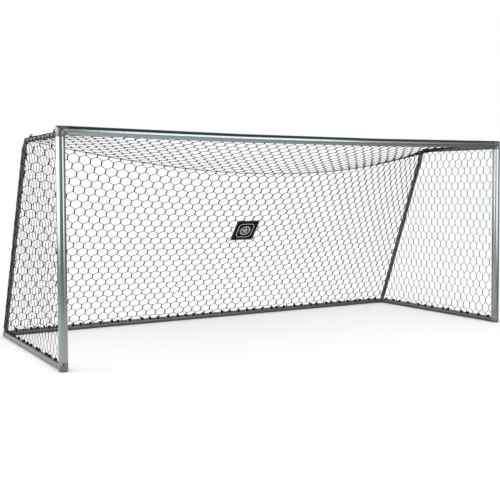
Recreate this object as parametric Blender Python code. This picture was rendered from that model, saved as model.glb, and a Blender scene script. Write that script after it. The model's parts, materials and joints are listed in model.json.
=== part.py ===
"""A full-depth soccer goal: aluminium posts and crossbar, steel base and side tubes, and a net.

Metres, +Z up. X runs along the crossbar, -Y is the front (the goal mouth) and +Y the rear.
The origin is on the ground at the middle of the goal's footprint.
"""

import functools
import math

import bmesh
import bpy
from mathutils import Vector

# Overall size of the goal, over the outside of its tubes and of the buttons in its rear bar.
WIDTH = 5.0
HEIGHT = 2.0
DEPTH = 2.0

# Aluminium profile of the posts and the crossbar: a round tube with a net groove in its rear.
PROFILE_R = 0.039
PROFILE_WALL = 0.0025
GROOVE_MOUTH = 0.0045
GROOVE_HALF = 0.0075
GROOVE_LIP = 0.003
GROOVE_DEEP = 0.009
PROFILE_SIDES = 24
CORNER_REACH = 0.092
CORNER_ROUNDING = 0.014
FOOT_HEIGHT = 0.075
SPIGOT_LENGTH = 0.06
SLEEVE_REACH = 0.09
CROSSBAR_SAG = 0.018

# Steel tubes of the base, the stanchions and the upper sides.
BASE_R = 0.025
BASE_Z = 0.026
SIDE_R = 0.019
STEEL_WALL = 0.0015
SWAGE_STEP = 0.002
SWAGE_LENGTH = 0.07
SWAGE_CONE = 0.008
ROUND_SIDES = 20
BEND_STEPS = 6

# Fittings.
REAR_ELBOW_R = 0.0265
REAR_ELBOW_BEND = 0.03
REAR_ELBOW_REACH = 0.1
COLLAR_R = 0.0225
COLLAR_HEIGHT = 0.07
TOP_BOSS_R = 0.021
TOP_BOSS_REACH = 0.016
ARCH_BEND = 0.09
ARCH_LEG = 0.5

# Where the side frame bends down: the meeting point of its two straight runs.
ARCH_LEAN = 0.03
ARCH_Y = 0.18
ARCH_Z = 1.943
TOP_TUBE_Z = 1.93

# Fasteners.
SCREW_R = 0.003
SCREW_HEAD_R = 0.006
SCREW_HEAD = 0.0032
SCREW_LENGTH = 0.016
SCREW_FROM_END = 0.035
SCREW_ANGLE = math.radians(40)
BUTTON_R = 0.004
BUTTON_PROUD = 0.003
BUTTON_FLANGE_R = 0.0055
BUTTON_FLANGE_DEPTH = 0.005
BUTTON_FLANGE = 0.0012
LEAF_LENGTH = 0.03
LEAF_WIDTH = 0.007
LEAF_THICK = 0.0008

# Net.
NET_THICK = 0.001
NET_CLEAR = 0.004
RIDGE_CORD_R = 0.003
RIDGE_STEPS = 24
RIDGE_Y = 0.16
RIDGE_Z = 1.944
RIDGE_FORWARD = 0.36
RIDGE_DROP = 0.304
BACK_EASE = 1.5
PATCH_SIZE = (0.284, 0.28)
PATCH_THICK = 0.002
PATCH_CLEAR = 0.012
PATCH_PLACE = 0.4

# Fits between pieces.
GAP = 0.0003
SLIP = 0.0005
HOLE_SLACK = 0.0004

POST_X = WIDTH / 2 - PROFILE_R
FRONT_Y = -DEPTH / 2 + PROFILE_R
BAR_Z = HEIGHT - PROFILE_R
REAR_Y = DEPTH / 2 - BASE_R - BUTTON_PROUD
BAR_END = WIDTH / 2 - CORNER_REACH
POST_TOP = HEIGHT - CORNER_REACH
PROFILE_REAR = FRONT_Y + PROFILE_R
SIDES = {"left": -1, "right": 1}
X_AXIS, Y_AXIS, Z_AXIS = Vector((1, 0, 0)), Vector((0, 1, 0)), Vector((0, 0, 1))

MATERIALS = {
    "anodised_aluminium": ((0.62, 0.66, 0.68), 0.28, 1.0),
    "grey_steel": ((0.2, 0.2, 0.195), 0.5, 0.6),
    "grey_plastic": ((0.1, 0.105, 0.11), 0.5, 0.0),
    "zinc_screw": ((0.55, 0.55, 0.53), 0.35, 1.0),
    "black_net": ((0.02, 0.02, 0.02), 0.8, 0.0),
    "black_patch": ((0.012, 0.012, 0.012), 0.6, 0.0),
}


# Scene and mesh helpers


def clear_scene():
    for obj in list(bpy.data.objects):
        bpy.data.objects.remove(obj)


def material(name):
    if name in bpy.data.materials:
        return bpy.data.materials[name]
    colour, roughness, metallic = MATERIALS[name]
    made = bpy.data.materials.new(name)
    made.use_nodes = True
    shader = made.node_tree.nodes["Principled BSDF"]
    shader.inputs["Base Color"].default_value = (*colour, 1)
    shader.inputs["Roughness"].default_value = roughness
    shader.inputs["Metallic"].default_value = metallic
    return made


def add_object(name, mesh, finish=None):
    """An object from a bmesh, with its faces outward. With no finish it is a cutter or a joined helper."""
    bmesh.ops.remove_doubles(mesh, verts=mesh.verts, dist=1e-6)
    bmesh.ops.recalc_face_normals(mesh, faces=mesh.faces)
    data = bpy.data.meshes.new(name)
    mesh.to_mesh(data)
    mesh.free()
    data.shade_smooth()
    data.set_sharp_from_angle(angle=math.radians(35))
    obj = bpy.data.objects.new(name, data)
    bpy.context.scene.collection.objects.link(obj)
    if finish:
        data.materials.append(material(finish))
    else:
        obj.hide_render = True
        obj.display_type = "WIRE"
    return obj


def combine(obj, other, operation):
    """Joins another solid to the object, cuts it out of it, or keeps what they share."""
    step = obj.modifiers.new(other.name, "BOOLEAN")
    step.operation = operation
    step.solver = "EXACT"
    step.object = other
    return obj


def turn(count):
    """The angles of count equal steps round a circle."""
    return [2 * math.pi * step / count for step in range(count)]


def ring(centre, along, start, radius, count):
    """Points of a circle across the direction along, the first one towards start."""
    along = along.normalized()
    first = (start - along * start.dot(along)).normalized()
    second = along.cross(first)
    return [centre + radius * (math.cos(a) * first + math.sin(a) * second) for a in turn(count)]


def skin(rings, endless=False):
    """A mesh over rings of equally many points: its ends are capped, or the last ring joins the first."""
    mesh = bmesh.new()
    loops = [[mesh.verts.new(point) for point in points] for points in rings]
    pairs = list(zip(loops, loops[1:]))
    if endless:
        pairs.append((loops[-1], loops[0]))
    else:
        mesh.faces.new(loops[0])
        mesh.faces.new(loops[-1])
    for one, two in pairs:
        for i in range(len(one)):
            j = (i + 1) % len(one)
            mesh.faces.new((one[i], one[j], two[j], two[i]))
    return mesh


def rod(stations, start, count=ROUND_SIDES):
    """A solid round bar through stations of (centre, direction, radius)."""
    return skin([ring(centre, along, start, radius, count) for centre, along, radius in stations])


def straight_rod(foot, tip, radius, start=X_AXIS, count=ROUND_SIDES):
    along = tip - foot
    return rod([(foot, along, radius), (tip, along, radius)], start, count)


def bent_path(first, corner, last, bend, steps):
    """(centre, direction) pairs from first to last, with an arc of radius bend at the corner."""
    inward = (first - corner).normalized()
    outward = (last - corner).normalized()
    half = inward.angle(outward) / 2
    middle = corner + (inward + outward).normalized() * bend / math.sin(half)
    sweep = math.pi - 2 * half
    from_middle = corner + inward * bend / math.tan(half) - middle
    path = [(first, -inward)]
    for step in range(steps + 1):
        angle = sweep * step / steps
        offset = from_middle * math.cos(angle) - inward * bend * math.sin(angle)
        along = -inward * math.cos(angle) - from_middle.normalized() * math.sin(angle)
        path.append((middle + offset, along))
    path.append((last, outward))
    return path


def tube(name, path, radius, start, swage=False, holes=()):
    """A steel tube along (centre, direction) pairs, whose last end may be swaged to slip into the next tube."""
    outside = [(centre, along, radius) for centre, along in path]
    if swage:
        end, along = path[-1]
        slim = radius - SWAGE_STEP
        outside[-1] = (end - along * SWAGE_CONE, along, radius)
        outside.append((end, along, slim))
        outside.append((end + along * SWAGE_LENGTH, along, slim))
    inside = [(centre, along, size - STEEL_WALL) for centre, along, size in reversed(outside)]
    rings = [ring(centre, along, start, size, ROUND_SIDES) for centre, along, size in outside + inside]
    obj = add_object(name, skin(rings, endless=True), "grey_steel")
    for hole in holes:
        combine(obj, hole, "DIFFERENCE")
    return obj


# The aluminium profile


def groove_outline():
    """The profile's outer outline as (across, rearward) points: a circle with a lipped groove in its rear."""
    begin = math.asin(GROOVE_MOUTH / PROFILE_R)
    sweep = 2 * math.pi - 2 * begin
    angles = [begin + sweep * step / PROFILE_SIDES for step in range(PROFILE_SIDES + 1)]
    lip = PROFILE_R - GROOVE_LIP
    deep = lip - GROOVE_DEEP
    groove = [
        (-GROOVE_MOUTH, lip),
        (-GROOVE_HALF, lip),
        (-GROOVE_HALF, deep),
        (GROOVE_HALF, deep),
        (GROOVE_HALF, lip),
        (GROOVE_MOUTH, lip),
    ]
    return [(PROFILE_R * math.sin(a), PROFILE_R * math.cos(a)) for a in angles] + groove


def bore_outline(inset=0.0):
    """The profile's bore, a circle with the groove's box standing in it, made smaller by inset."""
    radius = PROFILE_R - PROFILE_WALL - inset
    half = GROOVE_HALF + PROFILE_WALL + inset
    floor = PROFILE_R - GROOVE_LIP - GROOVE_DEEP - PROFILE_WALL - inset
    begin = math.asin(half / radius)
    sweep = 2 * math.pi - 2 * begin
    angles = [begin + sweep * step / PROFILE_SIDES for step in range(PROFILE_SIDES + 1)]
    return [(radius * math.sin(a), radius * math.cos(a)) for a in angles] + [(-half, floor), (half, floor)]


def on_post(side):
    """Places (across, rearward, up) on a post: across grows towards the goal's middle."""
    return lambda across, rearward, up: Vector((side * (POST_X - across), FRONT_Y + rearward, up))


def sag(x):
    """How far the crossbar hangs down at x: its outer thirds slope and its middle third is level."""
    slope_end = BAR_END / 3
    share = min(1, max(0, (BAR_END - abs(x)) / (BAR_END - slope_end)))
    return CROSSBAR_SAG * share


def on_bar(across, rearward, x):
    """Places (across, rearward, x) on the crossbar: across grows downwards."""
    return Vector((x, FRONT_Y + rearward, BAR_Z - across - sag(x)))


def extrusion(outlines, place, stations):
    """A solid whose cross-section is the first outline less the others, through the stations along it."""
    mesh = bmesh.new()
    ends = ([], [])
    for outline in outlines:
        loops = []
        for station in stations:
            loops.append([mesh.verts.new(place(across, rearward, station)) for across, rearward in outline])
        for one, two in zip(loops, loops[1:]):
            for i in range(len(one)):
                j = (i + 1) % len(one)
                mesh.faces.new((one[i], one[j], two[j], two[i]))
        for end, loop in zip(ends, (loops[0], loops[-1])):
            for i in range(len(loop)):
                end.append(mesh.edges.get((loop[i], loop[(i + 1) % len(loop)])))
    for end in ends:
        bmesh.ops.triangle_fill(mesh, use_beauty=True, edges=end)
    return mesh


def profile(name, place, begin, end, holes):
    outlines = [groove_outline(), bore_outline()]
    stations = (begin + GAP / 2, end - GAP / 2)
    obj = add_object(name, extrusion(outlines, place, stations), "anodised_aluminium")
    for hole in holes:
        combine(obj, hole, "DIFFERENCE")
    return obj


def sleeve(name, place, centre, holes):
    """The inner tube that joins two lengths of profile."""
    outlines = [bore_outline(SLIP), bore_outline(SLIP + PROFILE_WALL)]
    stations = (centre - SLEEVE_REACH, centre, centre + SLEEVE_REACH)
    obj = add_object(name, extrusion(outlines, place, stations), "anodised_aluminium")
    for hole in holes:
        combine(obj, hole, "DIFFERENCE")
    return obj


def spigot(name, place, begin, end):
    """A plug that fills the profile's bore, as a helper that is joined to a fitting."""
    return add_object(name, extrusion([bore_outline(SLIP)], place, (begin, end)))


# Fasteners


def screw_seat(place, station):
    """Where a screw goes into a profile: beside the groove, on the side that faces into the goal."""
    across, rearward = math.sin(SCREW_ANGLE), math.cos(SCREW_ANGLE)
    seat = place(PROFILE_R * across, PROFILE_R * rearward, station)
    outward = (seat - place(0, 0, station)).normalized()
    return seat, outward


def screw(name, seat, outward):
    """A button-head screw, and the helper that cuts its hole."""
    side = X_AXIS if abs(outward.x) < 0.5 else Z_AXIS
    under = seat + outward * GAP
    stations = [
        (under - outward * SCREW_LENGTH, outward, SCREW_R),
        (under, outward, SCREW_R),
        (under, outward, SCREW_HEAD_R),
        (under + outward * SCREW_HEAD * 0.5, outward, SCREW_HEAD_R * 0.95),
        (under + outward * SCREW_HEAD, outward, SCREW_HEAD_R * 0.55),
    ]
    add_object(name, rod(stations, side, 12), "zinc_screw")
    inner = seat - outward * (SCREW_LENGTH + 0.001)
    outer = seat + outward * 0.004
    hole = straight_rod(inner, outer, SCREW_R + HOLE_SLACK, side, 12)
    return add_object(name + "_hole", hole)


def snap_button(name, seat, outward, along):
    """A spring button that locks two steel tubes: a domed pin with a flange and its leaf. Also its hole."""
    top = seat + outward * BUTTON_PROUD
    flange = seat - outward * BUTTON_FLANGE_DEPTH
    under = flange - outward * BUTTON_FLANGE
    stations = [
        (under, outward, BUTTON_FLANGE_R),
        (flange, outward, BUTTON_FLANGE_R),
        (flange, outward, BUTTON_R),
        (top - outward * 0.0015, outward, BUTTON_R),
        (top - outward * 0.0005, outward, BUTTON_R * 0.75),
        (top, outward, BUTTON_R * 0.35),
    ]
    obj = add_object(name, rod(stations, along, 16), "zinc_screw")
    combine(obj, leaf(name + "_leaf", under, outward, along), "UNION")
    inner = seat - outward * (BUTTON_FLANGE_DEPTH + 0.001)
    outer = seat + outward * 0.004
    return add_object(name + "_hole", straight_rod(inner, outer, BUTTON_R + HOLE_SLACK, along, 16))


def leaf(name, under, outward, along):
    """The flat spring that carries a button, lying along the tube."""
    side = outward.cross(along).normalized()
    begin = under - along * LEAF_WIDTH / 2 + outward * BUTTON_FLANGE / 2
    end = under + along * (LEAF_LENGTH - LEAF_WIDTH / 2) + outward * BUTTON_FLANGE / 2
    thick = outward * (LEAF_THICK + BUTTON_FLANGE / 2)
    half = side * LEAF_WIDTH / 2
    rings = [[at + half, at - half, at - half - thick, at + half - thick] for at in (begin, end)]
    return add_object(name, skin(rings))


# Frame


def build_crossbar():
    """Three lengths of profile with a sleeve inside each of the two joints."""
    joint = BAR_END / 3
    cuts = {}
    for label, side in SIDES.items():
        places = {
            "end": side * (BAR_END - SCREW_FROM_END),
            "outer": side * (joint + SCREW_FROM_END),
            "inner": side * (joint - SCREW_FROM_END),
        }
        for spot, x in places.items():
            cuts[label, spot] = screw(f"crossbar_screw_{label}_{spot}", *screw_seat(on_bar, x))
    profile("crossbar_left", on_bar, -BAR_END, -joint, [cuts["left", "end"], cuts["left", "outer"]])
    profile("crossbar_centre", on_bar, -joint, joint, [cuts["left", "inner"], cuts["right", "inner"]])
    profile("crossbar_right", on_bar, joint, BAR_END, [cuts["right", "outer"], cuts["right", "end"]])
    for label, side in SIDES.items():
        holes = [cuts[label, "outer"], cuts[label, "inner"]]
        sleeve(f"crossbar_sleeve_{label}", on_bar, side * joint, holes)
    return {label: cuts[label, "end"] for label in SIDES}


def build_post(label, side):
    """Two lengths of profile with a sleeve inside their joint. Returns the holes at its two ends."""
    place = on_post(side)
    joint = (FOOT_HEIGHT + POST_TOP) / 2
    spots = {
        "foot": FOOT_HEIGHT + SCREW_FROM_END,
        "below": joint - SCREW_FROM_END,
        "above": joint + SCREW_FROM_END,
        "top": POST_TOP - SCREW_FROM_END,
    }
    cuts = {spot: screw(f"post_screw_{label}_{spot}", *screw_seat(place, z)) for spot, z in spots.items()}
    profile(f"post_lower_{label}", place, FOOT_HEIGHT, joint, [cuts["foot"], cuts["below"]])
    profile(f"post_upper_{label}", place, joint, POST_TOP, [cuts["above"], cuts["top"]])
    sleeve(f"post_sleeve_{label}", place, joint, [cuts["below"], cuts["above"]])
    return cuts["foot"], cuts["top"]


def corner_body(side):
    """Two round legs that meet in a mitre at the top corner of the frame, as a mesh."""
    centre = Vector((side * POST_X, FRONT_Y, BAR_Z))
    rings = [[], [], []]
    for angle in turn(PROFILE_SIDES):
        out = PROFILE_R * math.cos(angle)
        back = PROFILE_R * math.sin(angle)
        rings[0].append(Vector((centre.x + side * out, centre.y + back, POST_TOP)))
        rings[1].append(Vector((centre.x + side * out, centre.y + back, centre.z + out)))
        rings[2].append(Vector((side * BAR_END, centre.y + back, centre.z + out)))
    return skin(rings)


def rounded_block(label, side):
    """A block round the top corner whose outer upper edge is rounded, as a helper."""
    right, top = WIDTH / 2, HEIGHT
    inner = BAR_END - 0.01
    low = POST_TOP - 0.01
    steps = 5
    outline = [(inner, low), (inner, top), (right - CORNER_ROUNDING, top)]
    for step in range(1, steps + 1):
        angle = math.pi / 2 * (1 - step / steps)
        outline.append(
            (
                right - CORNER_ROUNDING * (1 - math.cos(angle)),
                top - CORNER_ROUNDING * (1 - math.sin(angle)),
            )
        )
    outline.append((right, low))
    front = FRONT_Y - PROFILE_R - 0.01
    back = FRONT_Y + PROFILE_R + 0.01
    rings = [[Vector((side * x, y, z)) for x, z in outline] for y in (front, back)]
    return add_object(f"corner_block_{label}", skin(rings))


def side_frame_points(side):
    """The corner points of a side frame's centre line: at the top boss, the upper bend and the rear elbow."""
    x = side * POST_X
    front = Vector((x, PROFILE_REAR + TOP_BOSS_REACH, TOP_TUBE_Z))
    bend = Vector((side * (POST_X - ARCH_LEAN), ARCH_Y, ARCH_Z))
    elbow_cut = REAR_ELBOW_BEND * (1 - math.sqrt(0.5))
    foot = Vector((side * (POST_X - elbow_cut), REAR_Y - elbow_cut, BASE_Z))
    return front, bend, foot


def build_top_corner(label, side, holes):
    """The moulded corner with plugs for the post, the crossbar and the upper side tube."""
    obj = add_object(f"top_corner_{label}", corner_body(side), "grey_plastic")
    combine(obj, rounded_block(label, side), "INTERSECT")
    down = spigot(f"corner_plug_post_{label}", on_post(side), POST_TOP - SPIGOT_LENGTH, POST_TOP + 0.02)
    ends = sorted((side * (BAR_END - SPIGOT_LENGTH), side * (BAR_END + 0.02)))
    across = spigot(f"corner_plug_bar_{label}", on_bar, *ends)
    front, bend, _ = side_frame_points(side)
    along = (bend - front).normalized()
    plug_r = SIDE_R - STEEL_WALL - SLIP
    plug = straight_rod(front - along * 0.045, front + along * SPIGOT_LENGTH, plug_r)
    boss = straight_rod(front - along * (TOP_BOSS_REACH - 0.001), front - along * GAP, TOP_BOSS_R)
    combine(obj, down, "UNION")
    combine(obj, across, "UNION")
    combine(obj, add_object(f"corner_plug_side_{label}", plug), "UNION")
    combine(obj, add_object(f"corner_boss_{label}", boss), "UNION")
    for hole in holes:
        combine(obj, hole, "DIFFERENCE")
    return obj


def build_front_foot(label, side, hole):
    """The moulded foot: a short round cup under the post, with plugs for the post and the base tube."""
    axis = Vector((side * POST_X, FRONT_Y, 0))
    edge = 0.003
    stations = [
        (axis, Z_AXIS, PROFILE_R - edge),
        (axis + Z_AXIS * edge, Z_AXIS, PROFILE_R),
        (axis + Z_AXIS * FOOT_HEIGHT, Z_AXIS, PROFILE_R),
    ]
    obj = add_object(f"front_foot_{label}", rod(stations, Y_AXIS, PROFILE_SIDES), "grey_plastic")
    up = spigot(f"foot_plug_post_{label}", on_post(side), FOOT_HEIGHT - 0.02, FOOT_HEIGHT + SPIGOT_LENGTH)
    root = Vector((side * POST_X, FRONT_Y, BASE_Z))
    shoulder = Vector((side * POST_X, PROFILE_REAR + 0.004, BASE_Z))
    plug_r = BASE_R - STEEL_WALL - SLIP
    plug = straight_rod(root, shoulder + Y_AXIS * SPIGOT_LENGTH, plug_r)
    flange = straight_rod(root, shoulder, BASE_R)
    combine(obj, up, "UNION")
    combine(obj, add_object(f"foot_flange_{label}", flange), "UNION")
    combine(obj, add_object(f"foot_plug_base_{label}", plug), "UNION")
    combine(obj, hole, "DIFFERENCE")
    return obj


def build_rear_elbow(label, side):
    """The moulded rear corner of the base, flat underneath, with plugs for three tubes."""
    corner = Vector((side * POST_X, REAR_Y, BASE_Z))
    inward = -side * X_AXIS
    along_side = corner - Y_AXIS * REAR_ELBOW_REACH
    along_rear = corner + inward * REAR_ELBOW_REACH
    path = bent_path(along_side, corner, along_rear, REAR_ELBOW_BEND, BEND_STEPS)
    stations = [(centre, along, REAR_ELBOW_R) for centre, along in path]
    obj = add_object(f"rear_elbow_{label}", rod(stations, Z_AXIS), "grey_plastic")
    plug_r = BASE_R - STEEL_WALL - SLIP
    plug_path = [
        (along_side - Y_AXIS * SPIGOT_LENGTH, Y_AXIS),
        *path,
        (along_rear + inward * SPIGOT_LENGTH, inward),
    ]
    plugs = rod([(centre, along, plug_r) for centre, along in plug_path], Z_AXIS)
    _, bend, foot = side_frame_points(side)
    rise = (bend - foot).normalized()
    collar = straight_rod(foot, foot + rise * COLLAR_HEIGHT, COLLAR_R)
    stem_r = SIDE_R - STEEL_WALL - SLIP
    stem = straight_rod(foot, foot + rise * (COLLAR_HEIGHT + SPIGOT_LENGTH), stem_r)
    combine(obj, add_object(f"elbow_plugs_{label}", plugs), "UNION")
    combine(obj, add_object(f"elbow_collar_{label}", collar), "UNION")
    combine(obj, add_object(f"elbow_stem_{label}", stem), "UNION")
    combine(obj, floor_block(label, corner), "DIFFERENCE")
    return obj


def floor_block(label, corner):
    """A block below the ground that cuts the elbow's flat underside."""
    reach = 2 * REAR_ELBOW_REACH
    low = -0.05
    rings = []
    for z in (low, 0.0):
        corners = ((-reach, -reach), (reach, -reach), (reach, reach), (-reach, reach))
        rings.append([Vector((corner.x + x, corner.y + y, z)) for x, y in corners])
    return add_object(f"floor_block_{label}", skin(rings))


def locked_tubes(names, button, points, radius, start, outward):
    """Two tubes end to end through points (begin, joint, end), locked by a snap button."""
    begin, joint, end = points
    along = (end - begin).normalized()
    seat = joint + along * SWAGE_LENGTH * 0.55 + outward * radius
    hole = snap_button(button, seat, outward, along)
    tube(names[0], [(begin, along), (joint, along)], radius, start, swage=True, holes=[hole])
    tube(names[1], [(joint + along * GAP, along), (end, along)], radius, start, holes=[hole])


def build_side_base(label, side):
    """The base tube along one side, in two lengths."""
    x = side * POST_X
    begin = Vector((x, PROFILE_REAR + 0.004 + GAP, BASE_Z))
    end = Vector((x, REAR_Y - REAR_ELBOW_REACH - GAP, BASE_Z))
    joint = (begin + end) / 2
    names = (f"base_side_front_{label}", f"base_side_rear_{label}")
    locked_tubes(names, f"snap_button_base_{label}", (begin, joint, end), BASE_R, Z_AXIS, side * X_AXIS)


def build_rear_bar():
    """The rear base bar in three lengths: each outer length's swage slips into the middle one."""
    reach = POST_X - REAR_ELBOW_REACH - GAP
    joint = reach / 3
    holes = {}
    for label, side in SIDES.items():
        inward = -side * X_AXIS
        begin = Vector((side * reach, REAR_Y, BASE_Z))
        meet = Vector((side * joint, REAR_Y, BASE_Z))
        seat = meet + inward * SWAGE_LENGTH * 0.55 + Y_AXIS * BASE_R
        holes[label] = snap_button(f"snap_button_rear_{label}", seat, Y_AXIS, inward)
        path = [(begin, inward), (meet, inward)]
        tube(f"rear_bar_{label}", path, BASE_R, Z_AXIS, swage=True, holes=[holes[label]])
    left = Vector((-joint + GAP, REAR_Y, BASE_Z))
    right = Vector((joint - GAP, REAR_Y, BASE_Z))
    tube("rear_bar_centre", [(left, X_AXIS), (right, X_AXIS)], BASE_R, Z_AXIS, holes=holes.values())


def build_side_arch(label, side):
    """The upper side tube with its bend, and the stanchion that carries it."""
    front, bend, foot = side_frame_points(side)
    fall = (foot - bend).normalized()
    joint = bend + fall * ARCH_LEG
    outward = fall.cross(X_AXIS)
    if outward.y < 0:
        outward.negate()
    outward.normalize()
    seat = joint + fall * SWAGE_LENGTH * 0.55 + outward * SIDE_R
    hole = snap_button(f"snap_button_stanchion_{label}", seat, outward, fall)
    path = bent_path(front, bend, joint, ARCH_BEND, BEND_STEPS)
    tube(f"side_arch_{label}", path, SIDE_R, X_AXIS, swage=True, holes=[hole])
    end = foot - fall * (COLLAR_HEIGHT + GAP)
    tube(f"stanchion_{label}", [(joint + fall * GAP, fall), (end, fall)], SIDE_R, X_AXIS, holes=[hole])


# Net


def ridge(share):
    """A point of the net's upper rear edge, which hangs between the bends: from -1 at the left to 1."""
    reach = POST_X - ARCH_LEAN - SIDE_R - NET_CLEAR
    pulled = RIDGE_FORWARD * (1 - abs(share) ** 3)
    dropped = RIDGE_DROP * (1 - share**2)
    return Vector((share * reach, RIDGE_Y - pulled, RIDGE_Z - dropped))


def roof_point(share, depth):
    """A point of the roof net, from the crossbar's groove at depth 0 to the ridge at depth 1."""
    reach = POST_X - SIDE_R - NET_CLEAR
    x = share * reach
    rise = (BAR_Z - TOP_TUBE_Z) * (1 - abs(share) ** 6)
    front = Vector((x, PROFILE_REAR + NET_CLEAR, TOP_TUBE_Z + rise - sag(x)))
    rear = ridge(share) - (ridge(share) - front).normalized() * (RIDGE_CORD_R + 0.001)
    return front.lerp(rear, depth)


def back_point(share, height):
    """A point of the back net, from the rear base bar at height 0 to the ridge at height 1."""
    edge = 1.0 if share > 0 else -1.0
    foot = side_frame_points(edge)[2]
    low = Vector((share * (abs(foot.x) - SIDE_R - NET_CLEAR), REAR_Y, BASE_Z + BASE_R + NET_CLEAR))
    level = ridge(edge)
    top = Vector((ridge(share).x, level.y, level.z))
    pull = ridge(share) - top
    point = low.lerp(top, height) + pull * height**BACK_EASE
    return point - Z_AXIS * (RIDGE_CORD_R + 0.001) * height


def side_point(side, along, height):
    """A point of a side net, from the post at along 0 to the stanchion at along 1."""
    _, bend, foot = side_frame_points(side)
    front_y = PROFILE_REAR + NET_CLEAR
    low_z = BASE_Z + BASE_R + NET_CLEAR
    fall = (foot - bend).normalized()
    ahead = Vector((0, fall.z, -fall.y)).normalized() * (COLLAR_R + NET_CLEAR)
    rear_low = bend + fall * ((low_z - bend.z) / fall.z) + ahead
    rear_high = bend + Vector((0, -0.024, -0.038))
    front_low = Vector((side * POST_X, front_y, low_z))
    front_high = Vector((side * POST_X, front_y, TOP_TUBE_Z - TOP_BOSS_R - NET_CLEAR))
    low = front_low.lerp(Vector((rear_low.x, rear_low.y, low_z)), along)
    return low.lerp(front_high.lerp(rear_high, along), height)


def net_panel(name, point, columns, rows, low=-1.0):
    """A thin sheet over the surface point(across, up), across running from low to 1."""
    mesh = bmesh.new()
    grid = []
    for row in range(rows + 1):
        line = []
        for column in range(columns + 1):
            across = low + (1 - low) * column / columns
            line.append(mesh.verts.new(point(across, row / rows)))
        grid.append(line)
    for one, two in zip(grid, grid[1:]):
        for i in range(columns):
            mesh.faces.new((one[i], one[i + 1], two[i + 1], two[i]))
    obj = add_object(name, mesh, "black_net")
    thicken = obj.modifiers.new("thickness", "SOLIDIFY")
    thicken.thickness = NET_THICK
    thicken.offset = 0
    return obj


def build_net():
    net_panel("net_roof", roof_point, RIDGE_STEPS, 3)
    net_panel("net_back", back_point, RIDGE_STEPS, 4)
    for label, side in SIDES.items():
        net_panel(f"net_side_{label}", functools.partial(side_point, side), 4, 4, low=0.0)


def build_ridge_cord():
    """The cord that edges the net where its roof and its back meet."""
    data = bpy.data.curves.new("net_ridge_cord", "CURVE")
    data.dimensions = "3D"
    data.bevel_depth = RIDGE_CORD_R
    data.bevel_resolution = 2
    data.use_fill_caps = True
    spline = data.splines.new("POLY")
    spline.points.add(RIDGE_STEPS)
    for step in range(RIDGE_STEPS + 1):
        spline.points[step].co = (*ridge(2 * step / RIDGE_STEPS - 1), 1)
    data.materials.append(material("black_net"))
    obj = bpy.data.objects.new("net_ridge_cord", data)
    bpy.context.scene.collection.objects.link(obj)


def build_patch():
    """The plain textile patch tied to the front of the back net."""
    centre = back_point(0, 1 - PATCH_PLACE)
    rise = (back_point(0, 1 - PATCH_PLACE + 0.05) - back_point(0, 1 - PATCH_PLACE - 0.05)).normalized()
    ahead = rise.cross(X_AXIS)
    if ahead.y > 0:
        ahead.negate()
    half = X_AXIS * PATCH_SIZE[0] / 2
    up = rise * PATCH_SIZE[1] / 2
    rings = []
    for distance in (PATCH_CLEAR, PATCH_CLEAR + PATCH_THICK):
        at = centre + ahead * distance
        rings.append([at - half - up, at + half - up, at + half + up, at - half + up])
    add_object("net_patch", skin(rings), "black_patch")


def main():
    clear_scene()
    bar_holes = build_crossbar()
    for label, side in SIDES.items():
        foot_hole, top_hole = build_post(label, side)
        build_top_corner(label, side, [top_hole, bar_holes[label]])
        build_front_foot(label, side, foot_hole)
        build_rear_elbow(label, side)
        build_side_base(label, side)
        build_side_arch(label, side)
    build_rear_bar()
    build_net()
    build_ridge_cord()
    build_patch()


main()
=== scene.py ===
"""The looks of a full-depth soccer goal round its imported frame: metal, fittings, netting and patch."""

import json
import math

import bmesh
import bpy
import numpy as np
from mathutils import Matrix, Vector, noise


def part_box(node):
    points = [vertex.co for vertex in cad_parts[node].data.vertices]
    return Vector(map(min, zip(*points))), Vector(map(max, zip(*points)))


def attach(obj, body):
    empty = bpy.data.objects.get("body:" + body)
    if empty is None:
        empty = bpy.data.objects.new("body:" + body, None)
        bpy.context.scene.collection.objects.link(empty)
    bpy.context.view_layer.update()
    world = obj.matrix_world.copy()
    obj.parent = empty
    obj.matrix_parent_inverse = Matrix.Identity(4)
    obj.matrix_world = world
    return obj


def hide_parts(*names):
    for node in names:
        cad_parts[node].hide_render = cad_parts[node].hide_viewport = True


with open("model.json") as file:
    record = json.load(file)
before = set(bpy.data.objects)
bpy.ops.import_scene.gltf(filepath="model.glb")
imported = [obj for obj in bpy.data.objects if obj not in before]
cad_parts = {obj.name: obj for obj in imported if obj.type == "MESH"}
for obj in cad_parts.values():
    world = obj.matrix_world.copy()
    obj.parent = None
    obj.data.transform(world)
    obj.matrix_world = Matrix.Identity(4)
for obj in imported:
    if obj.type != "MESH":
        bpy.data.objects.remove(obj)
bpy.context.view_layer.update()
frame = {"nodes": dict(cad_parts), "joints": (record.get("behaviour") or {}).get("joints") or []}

X_AXIS, Y_AXIS, Z_AXIS = Vector((1, 0, 0)), Vector((0, 1, 0)), Vector((0, 0, 1))
ASKEW = np.array([0.31, 0.22, 0.92])
SIDES = {"left": -1, "right": 1}

# The frame's driving sizes, read from its nodes.
post_low, post_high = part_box("post_lower_right")
bar_low, bar_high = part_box("crossbar_right")
rear_low, rear_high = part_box("rear_bar_centre")
side_low, side_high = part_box("base_side_front_right")
cord_low, cord_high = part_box("net_ridge_cord")

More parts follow.
